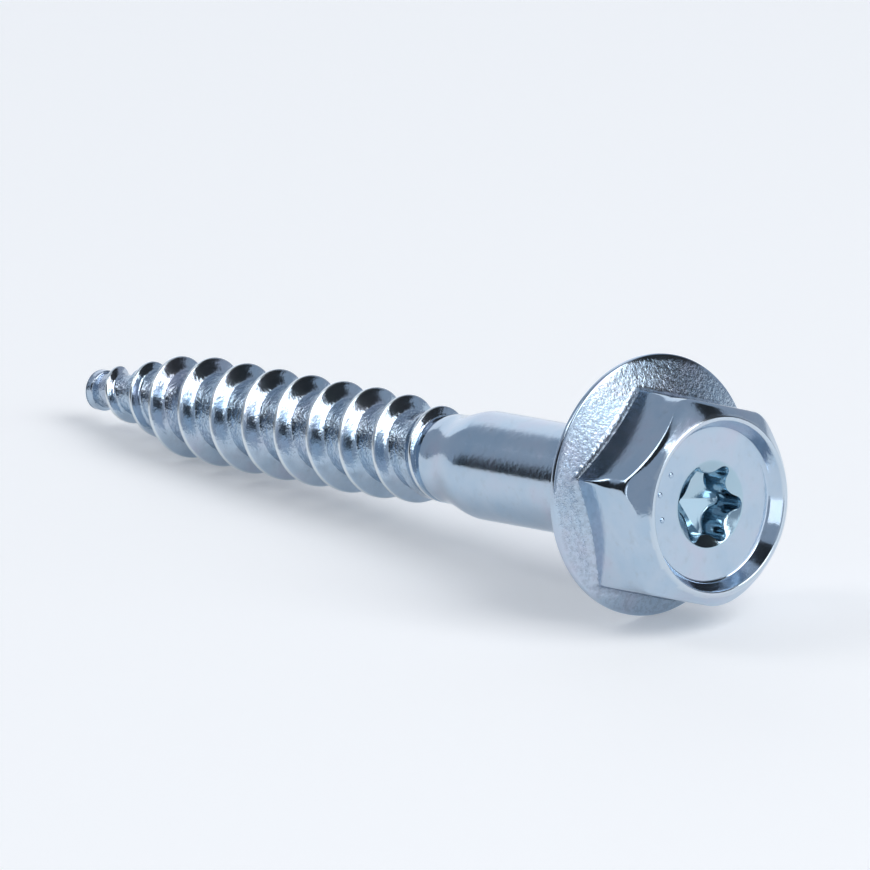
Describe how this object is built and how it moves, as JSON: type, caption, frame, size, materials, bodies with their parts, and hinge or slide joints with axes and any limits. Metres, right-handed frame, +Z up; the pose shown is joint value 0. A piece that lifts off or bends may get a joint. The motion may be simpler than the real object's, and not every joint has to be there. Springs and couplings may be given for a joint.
{
  "type": "hex flange lag screw",
  "caption": "Hex flange lag screw with a six-lobe recess in its dished head, a plain shank and a coarse wood thread that tapers to a blunt gimlet point, lying at rest.",
  "frame": {"origin": "on the surface that the screw lies on, under the centre of its bounding box", "axes": "+Z up from the surface it lies on; +X along the screw towards its head, whose axis rises 6.2 degrees from +X in the XZ plane; the point is at the -X end"},
  "size_m": [0.0634, 0.0172, 0.0171],
  "materials": {
    "zinc_plate": "bright zinc plate with a slight blue cast"
  },
  "bodies": {
    "root": {"lag_screw": "zinc_plate"}
  },
  "joints": []
}
